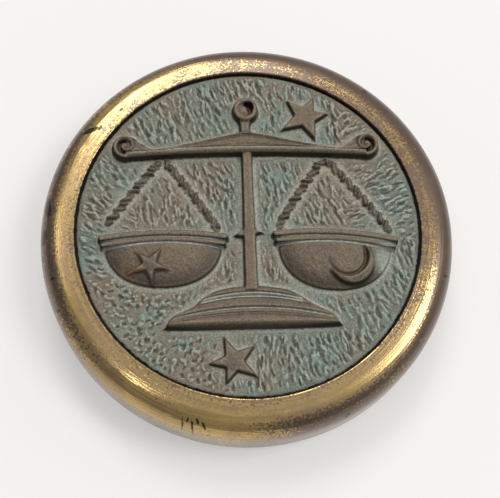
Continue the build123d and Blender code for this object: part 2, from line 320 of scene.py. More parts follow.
FOOT_OUTLINE = (
    (-1.7, -14.7),
    (-5.0, -15.1),
    (-8.6, -16.0),
    (-11.6, -17.8),
    (-13.4, -19.5),
    (-16.0, -20.8),
    (-18.6, -22.2),
    (-19.8, -24.2),
    (-19.3, -25.3),
    (0.0, -25.6),
    (19.6, -25.1),
    (20.2, -24.0),
    (19.0, -22.0),
    (16.9, -20.8),
    (14.4, -19.5),
    (12.0, -17.8),
    (9.0, -16.0),
    (5.0, -15.1),
    (1.7, -14.7),
)
FOOT_LEVELS = (  # y on the centre line, how far it droops at x = 10, height there
    (-14.9, 1.3, 1.0),
    (-16.2, 1.3, 1.55),
    (-16.7, 1.3, 1.1),
    (-17.1, 1.25, 1.6),
    (-17.6, 1.1, 1.2),
    (-18.1, 1.0, 1.7),
    (-20.0, 0.75, 2.3),
    (-20.5, 0.7, 1.6),
    (-20.9, 0.65, 2.15),
    (-21.4, 0.6, 2.25),
    (-21.8, 0.55, 1.95),
    (-22.2, 0.45, 2.35),
    (-23.6, 0.1, 2.7),
    (-24.2, 0.05, 2.5),
    (-25.5, 0.0, 0.0),
)
FOOT_PALE_LINES = (  # y on the centre line, droop at x = 10, paleness
    (-16.7, 1.3, 0.9),
    (-17.6, 1.1, 0.8),
    (-20.5, 0.7, 0.9),
    (-21.8, 0.55, 0.35),
)


def make_foot():
    """Bell-shaped foot: stepped tiers under each other, each edged by an arched groove."""
    place, depth = inside_polygon(smooth_path(FOOT_OUTLINE, 5), 0.9)
    columns = place[1]
    level = np.zeros_like(depth)
    centre_y = np.array([y for y, _, _ in FOOT_LEVELS])
    droop = np.array([sag for _, sag, _ in FOOT_LEVELS])
    heights = [tall for _, _, tall in FOOT_LEVELS]
    for number, x in enumerate(AXIS[columns]):
        knots = centre_y - droop * (x / 10.0) ** 2
        level[:, number] = np.interp(-GRID_Y[place][:, number], -knots, heights, right=0.0)
    raise_to(place, level * ramp(-0.05, 0.55, depth))
    for y, sag, paleness in FOOT_PALE_LINES:
        half = 11.6 if y > -18 else 18.4
        span = np.linspace(-half, half, 41)
        arch = np.stack([span, y - sag * (span / 10.0) ** 2], 1)
        cut_line(arch, 0.22, depth=0.15, paleness=1.2 * paleness)


BOWL_SQUARENESS = 2.2
BAND_SAG = 1.15
BANDS = ((2.35, 0.0, 0.85, 2.5), (0.6, 0.5, 0.72, 2.6))  # lift, how much shorter, half width, height


def make_bowl(x, y, half_width, depth, tilt):
    """Deep bowl with two rolled bands round its rim, the tilt in degrees."""
    cosine, sine = math.cos(math.radians(tilt)), math.sin(math.radians(tilt))
    place = window(x - half_width - 2, x + half_width + 2, y - depth - 2, y + 4)
    east = (GRID_X[place] - x) * cosine + (GRID_Y[place] - y) * sine
    north = (GRID_Y[place] - y) * cosine - (GRID_X[place] - x) * sine
    sideways = np.abs(east / (half_width - 0.6)) ** BOWL_SQUARENESS
    downwards = np.abs(np.minimum(north, 0) / depth) ** BOWL_SQUARENESS
    reach = (sideways + downwards) ** (1 / BOWL_SQUARENESS)
    dome = 0.35 + 2.5 * np.clip(1 - reach**2, 0, 1) ** 0.58
    arched = north + BAND_SAG * (east / half_width) ** 2
    shelf = ramp(-0.3, 0.3, arched)
    dome += shelf * (np.minimum(dome, 1.75) - dome)
    edge = ramp(0.0, 0.35, (1 - reach) * depth * 0.8) * ramp(2.4, 2.0, arched)
    raise_to(place, dome * edge)
    # painted shade: darker towards the lower edge of the bowl
    underside = ramp(0.55, 1.0, reach) * ramp(0.0, -4.0, north)
    banded = ramp(-0.4, 0.0, arched) * ramp(3.8, 3.4, arched)
    dull_and_shade_map[place] = np.maximum(dull_and_shade_map[place], np.maximum(underside, 0.6 * banded))
    span = np.linspace(-half_width, half_width, 41)
    for lift, shorter, half_band, top in BANDS:
        local_x = span * (1 - shorter / half_width)
        local_y = lift - BAND_SAG * (span / half_width) ** 2
        band_x = x + local_x * cosine - local_y * sine
        band_y = y + local_x * sine + local_y * cosine
        band = np.stack([band_x, band_y], 1)
        add_ridge(band, half_band, top, power=3.0, foot=1.9)
        below = band + np.array([sine, -cosine]) * (half_band + 0.14)
        cut_line(below, 0.26, depth=0.3, paleness=1.2)


ROPE_HALF_WIDTH = 1.02
ROPE_LAY = 1.9


def make_rope(start, end, bow):
    """Twisted two-ply rope with deep lays, bowed a little sideways."""
    start, end = np.array(start), np.array(end)
    across = np.array([start[1] - end[1], end[0] - start[0]]) / math.hypot(*(end - start))
    path = smooth_path([start, 0.5 * (start + end) + bow * across, end])
    place, distance, side, along = near_path(path, 1.4)
    phase = start[0]
    wobble = 0.24 * np.sin(along * 2.3 + phase) + 0.14 * np.sin(along * 5.3 + 2 * phase)
    share = np.clip(np.abs(side + wobble) / ROPE_HALF_WIDTH, 0, 1)
    slip = 0.35 * np.sin(along * 1.1 + phase)
    lay = 0.5 + 0.5 * np.cos(2 * math.pi * ((along + slip) / ROPE_LAY + 0.42 * side))
    top = 0.3 + (0.85 + 0.35 * np.sin(along * 1.3 + phase)) * lay**0.8
    values = top * np.sqrt(np.clip(1 - share**2.2, 0, 1))
    raise_to(place, np.where(distance < 1.3, values, 0))
    on_rope = ramp(1.3, 0.8, distance)
    rope_map[place] = np.maximum(rope_map[place], on_rope)
    dull_and_shade_map[place] = np.maximum(dull_and_shade_map[place], 0.5 * on_rope)


def star_corners(x, y, tips, waist):
    """Corners of a hand-cut star: five tips as (radius, bearing in degrees), and the waist radius."""
    corners = []
    bearings = [bearing for _, bearing in tips]
    for number, (radius, bearing) in enumerate(tips):
        following = bearings[(number + 1) % 5] + (360 if number == 4 else 0)
        middle = math.radians(0.5 * (bearing + following))
        turn = math.radians(bearing)
        corners.append((x + radius * math.cos(turn), y + radius * math.sin(turn)))
        corners.append((x + waist * math.cos(middle), y + waist * math.sin(middle)))
    return np.array(corners)


def make_star(corners, top, slope, on_surface=False):
    """Flat-topped star with sloping sides; one on a bowl adds to the height already there."""
    place, depth = inside_polygon(corners)
    ridge = 0.12 * np.clip(depth, 0, 2)
    values = np.minimum(top, np.clip(depth, 0, None) * slope) + ridge
    if on_surface:
        height[place] += values
    else:
        raise_to(place, values)


def make_crescent():
    """Crescent on the right bowl with a rounded crest, horns towards the upper left."""
    place = window(16, 31, -16.5, -3.5)
    x, y = GRID_X[place], GRID_Y[place]
    outer = 5.5 - np.hypot(x - 23.6, y + 10.1)
    inner = np.hypot(x - 22.6, y + 8.5) - 4.7
    depth = np.minimum(outer, inner)
    height[place] += 1.35 * ramp(0.0, 0.6, depth)
    lower_half = ramp(-7.0, -9.0, y + 0.4 * (20 - x))
    undercut = np.exp(-(((inner + 0.25) / 0.3) ** 2)) * ramp(-1.2, 0.3, outer) * lower_half
    height[place] -= 0.45 * undercut


STROKE_COUNT = 3800
CARVED_RADIUS = PLAQUE_RADIUS - 0.8
STROKE_REACH = 2.4  # half the window of a stroke, in half lengths
RELIEF_FROM = 0.25  # height above which a place belongs to the relief


def stroke_bearing(x, y):
    """Direction of the chisel strokes in degrees, by area of the ground."""
    if x > 24 and y > -4:
        return 18 + 0.6 * y
    if x < -27:
        return 140 - 1.1 * (y - 5)
    if y > 8:
        return 108 - 0.35 * x
    if x > 10:
        return 112
    if x < -8 and y < -13:
        return 60
    return 97


def carve_background():
    """Short chisel strokes over the ground, fading out beside the raised parts and at the border.

    Returns where the relief is, how close it is, and the height that the strokes add.
    """
    raised = (height > RELIEF_FROM).astype(float)
    close = blur(raised, 1.1)
    ground = np.zeros_like(height)
    for _ in range(STROKE_COUNT):
        radius = CARVED_RADIUS * math.sqrt(RANDOM.random())
        turn = RANDOM.random() * 2 * math.pi
        x, y = radius * math.cos(turn), radius * math.sin(turn)
        stipple = x < -6 and y < -12
        bearing = stroke_bearing(x, y) + RANDOM.normal(0, 34 if stipple else 11)
        long = RANDOM.uniform(0.4, 0.8) if stipple else RANDOM.uniform(0.6, 1.5)
        wide = RANDOM.uniform(0.19, 0.34)
        depth = RANDOM.uniform(0.15, 0.5) * RANDOM.choice([-1.0, 1.0], p=[0.35, 0.65])
        reach = STROKE_REACH * long
        place = window(x - reach, x + reach, y - reach, y + reach)
        east, north = GRID_X[place] - x, GRID_Y[place] - y
        turn = math.radians(bearing)
        along = east * math.cos(turn) + north * math.sin(turn)
        aside = north * math.cos(turn) - east * math.sin(turn) + 0.12 * along**2 / long
        ground[place] += depth * np.exp(-((along / long) ** 4) - (np.abs(aside) / wide) ** 1.6)
    open_ground = ramp(0.34, 0.01, blur(raised, 1.7))
    border = ramp(PLAQUE_RADIUS - 0.6, PLAQUE_RADIUS - 1.5, np.hypot(GRID_X, GRID_Y))
    carved = 0.6 * np.tanh(ground / 0.55) * (0.12 + 0.88 * open_ground) * border
    hollowed = -0.12 * ramp(0.0, 0.3, close) * border
    return raised, close, np.where(raised > 0, 0.12 * ground, carved + hollowed)


ROPES = (  # upper end, lower end, sideways bow
    ((-21.6, 16.6), (-33.4, 1.2), -0.2),
    ((-19.4, 16.6), (-7.6, 0.0), 0.2),
    ((17.9, 16.4), (7.2, 0.4), -0.2),
    ((20.0, 16.6), (33.6, -1.4), 0.3),
)
BOWLS = (  # middle of the rim (x, y), half width, depth, tilt in degrees
    (-20.3, -4.3, 14.5, 10.8, 0),
    (20.2, -4.7, 14.2, 11.8, -4),
)
# radius and bearing in degrees of each tip
TOP_STAR = ((6.4, 8), (6.4, 67), (7.0, 135), (7.9, 211), (7.3, 288))
LOW_STAR = ((6.6, 36), (6.7, 111), (6.7, 185), (6.1, 250), (7.0, 325))
BOWL_STAR = ((5.4, 346), (5.5, 416), (5.1, 494), (6.1, 557), (5.2, 637))

make_foot()
make_pillar()
for rope in ROPES:
    make_rope(*rope)
for bowl in BOWLS:
    make_bowl(*bowl)
make_beam()
for side in (-1, 1):
    make_volute(side)
make_finial()
make_star(star_corners(14.9, 28.7, TOP_STAR, waist=3.0), top=1.4, slope=3.4)
make_star(star_corners(-4.5, -32.7, LOW_STAR, waist=2.6), top=1.4, slope=3.4)
make_star(star_corners(-23.4, -10.1, BOWL_STAR, waist=2.05), top=1.15, slope=2.0, on_surface=True)
make_crescent()
raised_map, close_map, ground_map = carve_background()
# the right bowl is green, like the ground, at its outer end
green_end = np.exp(-((np.hypot(GRID_X - 31.8, 0.8 * (GRID_Y + 9.4)) / 3.6) ** 4))
raised_map = raised_map * (1 - 0.25 * rope_map) * (1 - 0.75 * green_end)
height = blur(height, 0.09) + ground_map
north_slope, east_slope = np.gradient(height, STEP)
steep_map = blur(np.hypot(north_slope, east_slope), 0.12)
# above 0 where a wall faces the lower left, away from the windows; the bronze paints shade on such walls
shaded_side_map = blur(0.5 * east_slope + 0.85 * north_slope, 0.12) / np.maximum(steep_map, 0.3)
# above 0 in hollows, below 0 on crests
hollow_map = blur(height, 0.45) - height
wide_hollow_map = blur(height, 1.6) - height


# ---- relief plaque mesh ----
DISC_CELLS = 380
EDGE_ROUND = 0.3  # on the plaque's edge and on the ring's bore


def disc_points(cells):
    """Square grid of points pressed into a unit disc, rows of even cells with a round outline."""
    line = np.linspace(-1, 1, cells + 1)
    u, v = np.meshgrid(line, line)
    wide = np.abs(u) >= np.abs(v)
    radius = np.where(wide, u, v)
    safe = np.where(np.abs(radius) < 1e-9, 1, radius)
    turn = np.where(wide, 0.25 * math.pi * v / safe, 0.5 * math.pi - 0.25 * math.pi * u / safe)
    return radius * np.cos(turn), radius * np.sin(turn)


def sample(field, x, y):
    """Bilinear reading of a map at points in millimetres."""
    column = np.clip((x + HALF_SIDE) / STEP, 0, len(AXIS) - 1.001)
    row = np.clip((y + HALF_SIDE) / STEP, 0, len(AXIS) - 1.001)
    c, r = column.astype(int), row.astype(int)
    fc, fr = column - c, row - r
    low = field[r, c] * (1 - fc) + field[r, c + 1] * fc
    high = field[r + 1, c] * (1 - fc) + field[r + 1, c + 1] * fc
    return low * (1 - fr) + high * fr


def plaque_masks():
    """Maps that the bronze material reads, by attribute name."""
    rubbed = np.exp(-((np.hypot(GRID_X + 27.6, GRID_Y + 10.2) / 2.6) ** 2))
    lower_left = ramp(-2, -12, GRID_X) * ramp(-8, -18, GRID_Y)
    top_middle = 0.6 * ramp(24, 32, GRID_Y) * ramp(22, 12, np.abs(GRID_X))
    return {
        "raised": raised_map,
        "close": close_map,
        "hollow": hollow_map,
        "wide_hollow": wide_hollow_map,
        "residue": residue,
        "steep": steep_map,
        "shaded_side": shaded_side_map,
        "dull_and_shade": dull_and_shade_map,
        "rubbed": rubbed,
        "tan_zone": np.maximum(lower_left, top_middle),
    }


def make_plaque():
    """Disc with the relief on its face, a rounded edge, a straight wall and a flat back."""
    u, v = disc_points(DISC_CELLS)
    x, y = u.ravel() * PLAQUE_RADIUS, v.ravel() * PLAQUE_RADIUS
    reach = np.hypot(x, y)
    edge_drop = EDGE_ROUND * ramp(PLAQUE_RADIUS - 0.35, PLAQUE_RADIUS, reach)
    z = PLAQUE_TOP + sample(height, x, y) - edge_drop
    points = np.stack([x, y, z], 1)
    side = DISC_CELLS + 1
    number = np.arange(side * side).reshape(side, side)
    faces = np.stack([number[:-1, :-1], number[:-1, 1:], number[1:, 1:], number[1:, :-1]], -1)
    faces = faces.reshape(-1, 4).tolist()
    rim = np.concatenate([number[0, :-1], number[:-1, -1], number[-1, :0:-1], number[:0:-1, 0]])
    count, total = len(rim), len(points)
    wall = points[rim].copy()
    wall[:, 2] = PLAQUE_BACK
    points = np.vstack([points, wall])
    for k in range(count):
        after = (k + 1) % count
        faces.append([rim[k], total + k, total + after, rim[after]])
    faces.append([total + k for k in range(count)][::-1])
    plaque = make_object("relief_plaque_cast", points, [[int(i) for i in f] for f in faces])
    for name, field in plaque_masks().items():
        values = np.zeros(len(points))
        values[:total] = sample(field, x, y)
        add_attribute(plaque, name, values)
    return plaque


def lathe(name, profile, segments, offset=None):
    """Closed ring of revolution round Z from (radius, z) points in order round the section.

    An offset function may push the points: it gets radius, z and turn and returns pushes in radius and z.
    """
    turn = np.arange(segments) * 2 * math.pi / segments
    radius = np.array([r for r, _ in profile])[:, None]
    level = np.array([z for _, z in profile])[:, None]
    x, y = radius * np.cos(turn), radius * np.sin(turn)
    z = level + 0 * turn
    if offset is not None:
        push_radius, push_z = offset(radius, level, turn)
        x = x + push_radius * np.cos(turn)
        y = y + push_radius * np.sin(turn)
        z = z + push_z
    points = np.stack([x, y, z], -1).reshape(-1, 3)
    rows = len(profile)
    faces = []
    for row in range(rows):
        here, after = row * segments, ((row + 1) % rows) * segments
        for k in range(segments):
            beside = (k + 1) % segments
            faces.append([here + k, here + beside, after + beside, after + k])
    return make_object(name, points, faces)


BOSS_SEGMENTS = 48


def make_boss(number, bearing):
    """Bored boss, sunk a little into the back of the plaque."""
    root = PLAQUE_BACK + 0.05
    profile = [
        (BOSS_RADIUS, root),
        (BOSS_RADIUS, BOSS_BOTTOM + 0.2),
        (BOSS_RADIUS - 0.2, BOSS_BOTTOM),
        (SCREW_RADIUS + 0.3, BOSS_BOTTOM),
        (SCREW_RADIUS, BOSS_BOTTOM + 0.3),
        (SCREW_RADIUS, root),
    ]
    boss = lathe(f"plaque_boss_{number}", profile, BOSS_SEGMENTS)
    turn = math.radians(bearing)
    shift = Vector((SCREW_CIRCLE * math.cos(turn) * MM, SCREW_CIRCLE * math.sin(turn) * MM, 0))
    for vertex in boss.data.vertices:
        vertex.co += shift
    return boss


# ---- rim ring mesh ----
RING_SEGMENTS = 720
WAVES = ((3, 0.03), (5, 0.025), (8, 0.018), (13, 0.010), (21, 0.006))  # how many round the ring, size
DENTS = (  # bearing in degrees, radius, size, depth
    (151, 45.2, 1.4, 0.10),
    (203, 48.5, 1.1, 0.08),
    (187, 49.6, 2.2, 0.05),
    (246, 49.0, 1.0, 0.07),
)
STAINS = (  # x, y, half length, half width, direction in degrees
    (-38.0, 25.6, 2.4, 0.7, 22),
    (-35.6, 26.3, 0.9, 0.4, 60),
    (-30.5, 31.2, 0.8, 0.3, 30),
    (-46.4, 14.5, 0.7, 0.5, 80),
    (-47.8, 6.0, 2.8, 1.0, 95),
    (-48.6, -1.5, 2.0, 0.9, 85),
    (-49.2, -7.0, 1.6, 0.7, 80),
    (-46.0, -12.0, 0.7, 0.4, 20),
    (-44.5, -19.5, 0.6, 0.4, 40),
    (-16.4, -45.9, 1.4, 0.25, 86),
    (-15.2, -45.4, 0.8, 0.25, 60),
    (-14.2, -46.6, 1.5, 0.3, 92),
    (-13.0, -45.8, 0.9, 0.3, 110),
    (-11.6, -46.8, 1.2, 0.3, 115),
    (21.0, -44.9, 0.8, 0.3, 40),
    (46.3, -13.0, 0.6, 0.4, 10),
    (30.5, 36.2, 0.9, 0.4, -50),
)


def quarter_turn(steps, first=0):
    """Angles in even steps up to a right angle."""
    return [0.5 * math.pi * step / steps for step in range(first, steps + 1)]


def ring_profile():
    """Section of the ring from the bottom round, up the wall, over the shoulder and down inside."""
    wall_foot = RING_BOTTOM + RING_BOTTOM_ROUND
    wall_top = RING_TOP - SHOULDER_DROP
    land_outer = BORE_RADIUS + LAND_WIDTH
    width = RING_RADIUS - land_outer
    squareness = 2 / SHOULDER_POWER
    profile = []
    for turn in quarter_turn(8):
        inwards = RING_BOTTOM_ROUND * (1 - math.sin(turn))
        profile.append((RING_RADIUS - inwards, RING_BOTTOM + RING_BOTTOM_ROUND * (1 - math.cos(turn))))
    for step in range(1, 8):
        profile.append((RING_RADIUS, wall_foot + (wall_top - wall_foot) * step / 8))
    for turn in quarter_turn(48):
        radius = land_outer + width * math.cos(turn) ** squareness
        profile.append((radius, wall_top + SHOULDER_DROP * math.sin(turn) ** squareness))
    for step in range(1, 4):
        profile.append((land_outer - (LAND_WIDTH - EDGE_ROUND) * step / 3, RING_TOP))
    for turn in quarter_turn(4, first=1):
        outwards = EDGE_ROUND * (1 - math.sin(turn))
        profile.append((BORE_RADIUS + outwards, RING_TOP - EDGE_ROUND * (1 - math.cos(turn))))
    profile += [(BORE_RADIUS, RING_TOP - 1.0), (BORE_RADIUS, PLAQUE_BACK)]
    profile += [(LEDGE_RADIUS, PLAQUE_BACK), (LEDGE_RADIUS, LEDGE_BOTTOM)]
    profile += [(CAVITY_RADIUS, LEDGE_BOTTOM), (CAVITY_RADIUS, BASE_TOP)]
    profile += [(REBATE_RADIUS, BASE_TOP), (REBATE_RADIUS, RING_BOTTOM)]
    return profile


def ring_wear(radius, level, turn):
    """Hand-polish waviness and a few small dents on the outside of the ring."""
    outside = ramp(BORE_RADIUS + 0.2, BORE_RADIUS + 1.5, radius)
    wave = np.zeros((len(radius), len(turn)))
    for count, size in WAVES:
        phase = RANDOM.random() * 2 * math.pi
        slant = RANDOM.uniform(-0.25, 0.25)
        wave += size * np.sin(count * turn + phase + slant * (level + radius - RING_RADIUS))
    for bearing, dent_radius, size, depth in DENTS:
        swing = (np.degrees(turn) - bearing + 180) % 360 - 180
        gap = np.hypot(np.radians(swing) * radius, (radius - dent_radius) * 1.2)
        wave -= depth * np.exp(-((gap / size) ** 2))
    push = outside * wave * 0.5
    pull_in = 0.03 * outside
    return push - pull_in, push


def ring_masks(ring):
    """Per-vertex tarnish cover, by bearing and place on the section, and dark stains on the outside."""
    points = np.array([tuple(vertex.co) for vertex in ring.data.vertices]) / MM
    x, y, z = points[:, 0], points[:, 1], points[:, 2]
    bearing = np.degrees(np.arctan2(y, x))
    outward = (np.hypot(x, y) - BORE_RADIUS) / (RING_RADIUS - BORE_RADIUS)
    right = ramp(-45, 0, bearing) * ramp(115, 85, bearing)
    top = ramp(50, 75, bearing) * ramp(160, 120, bearing)
    left = ramp(50, 20, np.abs(np.abs(bearing) - 180))
    under = ramp(-98, -72, bearing) * ramp(10, -5, bearing)
    cover = 0.16 + 0.38 * right * ramp(0.2, 0.7, outward) + 0.21 * right + 0.06 * top
    cover += 0.42 * under * ramp(0.45, 0.75, outward)
    cover += 0.38 * top * ramp(0.5, 0.8, outward) + 0.42 * left * ramp(0.4, 0.7, outward)
    beside_bore = ramp(0.3, 0.12, outward)
    on_wall = ramp(13.5, 8.0, z)
    cover += 0.16 * beside_bore
    cover += 0.26 * on_wall
    stain = np.zeros(len(points))
    for at_x, at_y, half_long, half_wide, direction in STAINS:
        turn = math.radians(direction)
        along = (x - at_x) * math.cos(turn) + (y - at_y) * math.sin(turn)
        aside = (y - at_y) * math.cos(turn) - (x - at_x) * math.sin(turn)
        stain = np.maximum(stain, 1 - 0.5 * np.hypot(along / half_long, aside / half_wide))
    stain *= z > LEDGE_BOTTOM
    add_attribute(ring, "cover", np.clip(cover, 0, 1))
    add_attribute(ring, "stain", stain)


FELT_SEGMENTS = 240
FELT_ROUND = 0.5


def felt_profile():
    """Section of the felt: underside outwards, round the edge, and back along the upper face."""
    edge_start = FELT_RADIUS - FELT_ROUND
    profile = [(0.02, 0.0), (0.06, 0.0)]
    profile += [(radius, 0.0) for radius in np.linspace(3, edge_start, 24)]
    for step in range(1, 9):
        turn = math.pi * step / 8
        level = 0.5 * (1 - math.cos(turn)) * FELT_THICKNESS
        profile.append((edge_start + FELT_ROUND * math.sin(turn), level))
    profile += [(radius, FELT_THICKNESS) for radius in np.linspace(FELT_RADIUS - 1, 0.02, 12)]
    return profile


def felt_fuzz(radius, level, turn):
    """Faintly lumpy underside and a ragged edge."""
    shape = (len(radius), len(turn))
    under = ramp(FELT_THICKNESS, 0.2, level) * ramp(1.0, 4.0, radius)
    lumps = RANDOM.random(shape) * 0.05
    edge = ramp(FELT_RADIUS - 0.6, FELT_RADIUS, radius) * RANDOM.normal(0, 0.06, shape)
    return edge, under * lumps


# ---- materials ----
class Shader:
    """Short-hand for building a node tree on a principled surface."""

    def __init__(self, name):
        self.material = bpy.data.materials.new(name)
        self.material.use_nodes = True
        self.tree = self.material.node_tree
        self.surface = self.tree.nodes["Principled BSDF"]
        self.place = self.tree.nodes.new("ShaderNodeTexCoord").outputs["Object"]

    def node(self, kind, inputs=None, **settings):
        """New node with its settings, and with its inputs fed by name or number."""
        node = self.tree.nodes.new(kind)
        for key, value in settings.items():
            setattr(node, key, value)
        for key, value in (inputs or {}).items():
            self.feed(node.inputs[key], value)
        return node

    def feed(self, socket, value):
        """Links an output to a socket, or gives the socket a plain value."""
        if isinstance(value, bpy.types.NodeSocket):
            self.tree.links.new(value, socket)
        else:
            socket.default_value = value

    def put(self, name, value):
        """Feeds an input of the surface."""
        self.feed(self.surface.inputs[name], value)

    def noise(self, scale, detail=4.0, roughness=0.55, distortion=0.0, place=None):
        """Noise from 0 to 1, the scale in cells per metre."""
        inputs = {
            "Vector": place or self.place,
            "Scale": scale,
            "Detail": detail,
            "Roughness": roughness,
            "Distortion": distortion,
        }
        return self.node("ShaderNodeTexNoise", inputs).outputs["Fac"]

    def spread(self, value, low, high, bottom=0.0, top=1.0):
        """Smooth fade from bottom, where the value is low, to top, where it is high."""
        inputs = {"Value": value, "From Min": low, "From Max": high, "To Min": bottom, "To Max": top}
        return self.node("ShaderNodeMapRange", inputs, interpolation_type="SMOOTHSTEP").outputs["Result"]

    def math(self, operation, first, second=0.0):
        return self.node("ShaderNodeMath", {0: first, 1: second}, operation=operation).outputs[0]

    def times(self, first, second):
        return self.math("MULTIPLY", first, second)

    def plus(self, first, second):
        return self.math("ADD", first, second)

    def mix(self, share, first, second):
        """Colour that goes from the first to the second as the share goes from 0 to 1."""
        return self.node("ShaderNodeMix", {0: share, 6: first, 7: second}, data_type="RGBA").outputs[2]

    def read(self, name):
        """Per-vertex attribute of the mesh."""
        return self.node("ShaderNodeAttribute", attribute_name=name).outputs["Fac"]

    def coordinates(self):
        """X, Y and Z of the surface in metres."""
        parts = self.node("ShaderNodeSeparateXYZ", {"Vector": self.place})
        return parts.outputs["X"], parts.outputs["Y"], parts.outputs["Z"]

    def vector(self, x, y, z):
        return self.node("ShaderNodeCombineXYZ", {"X": x, "Y": y, "Z": z}).outputs["Vector"]

    def axis_distance(self):
        """Distance from the Z axis in metres."""
        x, y, _ = self.coordinates()
        across = self.vector(x, y, 0.0)
        return self.node("ShaderNodeVectorMath", {0: across}, operation="LENGTH").outputs["Value"]

    def bump(self, value, strength, distance, under=None):
        """Normal bent by a height, on top of another bent normal if there is one."""
        inputs = {"Height": value, "Strength": strength, "Distance": distance}
        if under is not None:
            inputs["Normal"] = under
        return self.node("ShaderNodeBump", inputs).outputs["Normal"]


def colour(red, green, blue):
    return (red, green, blue, 1.0)


# near-black painted along the seam: painted shadow of the gap between ring and plaque
SEAM_SHADOW_BLACK = colour(0.012, 0.01, 0.009)


def ground_bronze(s, broad, patch, mottle):
    """Colour of the ground: tan to grey-green, frosted crests, dark pits and turquoise patches."""
    hollow = s.read("hollow")
    green = s.mix(patch, colour(0.22, 0.23, 0.175), colour(0.29, 0.34, 0.28))
    tan = s.mix(patch, colour(0.25, 0.20, 0.13), colour(0.36, 0.31, 0.225))
    green_share = s.math("SUBTRACT", s.spread(broad, 0.36, 0.60), s.times(s.read("tan_zone"), 0.6))
    base = s.mix(s.math("MAXIMUM", green_share, 0.0), tan, green)
    frost = s.mix(s.spread(broad, 0.42, 0.56), colour(0.60, 0.57, 0.47), colour(0.54, 0.63, 0.56))
    crest = s.times(s.spread(hollow, 0.02, -0.14), s.spread(mottle, 0.3, 0.55, 0.4, 1.0))
    base = s.mix(s.times(crest, 0.95), base, frost)
    pit = s.times(s.spread(hollow, -0.01, 0.12), s.spread(mottle, 0.7, 0.35, 0.5, 1.0))
    pit = s.times(pit, s.spread(s.read("close"), 0.25, 0.05))
    base = s.mix(s.times(pit, 0.8), base, colour(0.07, 0.055, 0.037))
    turquoise = s.times(s.spread(patch, 0.50, 0.64), s.spread(broad, 0.42, 0.56))
    turquoise = s.times(turquoise, s.spread(hollow, 0.10, -0.04))
    return s.mix(s.times(turquoise, 0.7), base, colour(0.28, 0.43, 0.36))


def relief_bronze(s, patch, mottle):
    """Colour of the raised parts: mottled brown, greyer in patches, darker with painted shade low on each
    bowl, and a darker tone on the bowl bands and the ropes.
    """
    base = s.mix(mottle, colour(0.13, 0.095, 0.062), colour(0.29, 0.225, 0.155))
    base = s.mix(s.times(s.spread(patch, 0.52, 0.68), 0.6), base, colour(0.13, 0.11, 0.105))
    return s.mix(s.times(s.read("dull_and_shade"), 0.7), base, colour(0.06, 0.05, 0.05))


def bronze_edges(s, base, raised, broad):
    """Pale halo beside the raised parts, worn crests, painted shade on walls that face away from the
    windows, and dirt with painted shade in hollows.
    """
    steep = s.read("steep")
    beside = s.times(s.spread(s.read("close"), 0.03, 0.35), s.spread(raised, 0.5, 0.05))
    beside = s.times(beside, s.spread(steep, 2.4, 1.0))
    halo = s.mix(broad, colour(0.56, 0.52, 0.39), colour(0.56, 0.61, 0.57))
    base = s.mix(s.times(beside, 0.85), base, halo)
    worn = s.times(s.spread(s.read("hollow"), -0.03, -0.16), s.spread(raised, 0.5, 0.9))
    base = s.mix(s.times(worn, 0.5), base, colour(0.36, 0.28, 0.19))
    # painted shade: near-black on steep walls, strongest on those that face away from the windows
    wall_shade = s.times(s.spread(steep, 1.2, 3.0), s.spread(raised, 0.05, 0.4))
    wall_shade = s.times(wall_shade, s.spread(s.read("shaded_side"), -0.45, 0.4, 0.05, 0.97))
    base = s.mix(wall_shade, base, colour(0.016, 0.013, 0.012))
    # darker in wide hollows of the raised parts: partly dirt, partly painted shade
    dirt_and_shade = s.times(s.spread(s.read("wide_hollow"), 0.4, 1.1), s.spread(raised, 0.2, 0.6))
    return s.mix(s.times(dirt_and_shade, 0.5), base, colour(0.03, 0.025, 0.022))


def bronze():
    """Cast bronze: brown raised parts, grey-green ground, pale grooves, painted shade on walls and hollows,
    and a ragged black border of painted shadow at the seam.
    """
    s = Shader("plaque_bronze")
    raised = s.read("raised")
    broad = s.noise(55, 3, 0.6)
    patch = s.noise(190, 4, 0.65, 0.6)
    mottle = s.noise(900, 4, 0.7)
    grain = s.noise(2700, 3, 0.75)
    speckle = s.noise(5200, 2, 0.7)
    ground = ground_bronze(s, broad, patch, mottle)
    base = s.mix(s.spread(raised, 0.2, 0.9), ground, relief_bronze(s, patch, mottle))
    base = bronze_edges(s, base, raised, broad)
    rubbed = s.times(s.spread(s.read("rubbed"), 0.1, 0.6), s.spread(s.read("hollow"), 0.02, -0.1))
    base = s.mix(s.times(rubbed, 0.8), base, colour(0.52, 0.30, 0.14))
    pale = s.times(s.spread(s.read("residue"), 0.25, 0.75), s.spread(patch, 0.2, 0.5, 0.6, 1.0))
    base = s.mix(pale, base, colour(0.48, 0.53, 0.45))
    shade = s.times(s.spread(grain, 0.35, 0.60, 0.45, 1.0), s.spread(speckle, 0.36, 0.64, 0.6, 1.0))
    base = s.mix(shade, colour(0.03, 0.025, 0.02), base)
    # ragged black border at the plaque's edge: painted shadow of the gap at the seam
    ragged = s.plus(s.axis_distance(), s.times(s.noise(520, 4, 0.7), 2.2 * MM))
    border = s.spread(ragged, (BORE_RADIUS + 0.59) * MM, (BORE_RADIUS + 0.71) * MM)
    s.put("Base Color", s.mix(border, base, SEAM_SHADOW_BLACK))
    s.put("Metallic", s.spread(raised, 0.2, 0.9, 0.15, 0.6))
    s.put("Roughness", s.spread(raised, 0.2, 0.9, 0.62, 0.42))
    fine = s.bump(speckle, 0.35, 0.1 * MM)
    rough_cast = s.bump(grain, 0.6, 0.2 * MM, fine)
    s.put("Normal", s.bump(mottle, 0.5, 0.3 * MM, rough_cast))
    return s.material


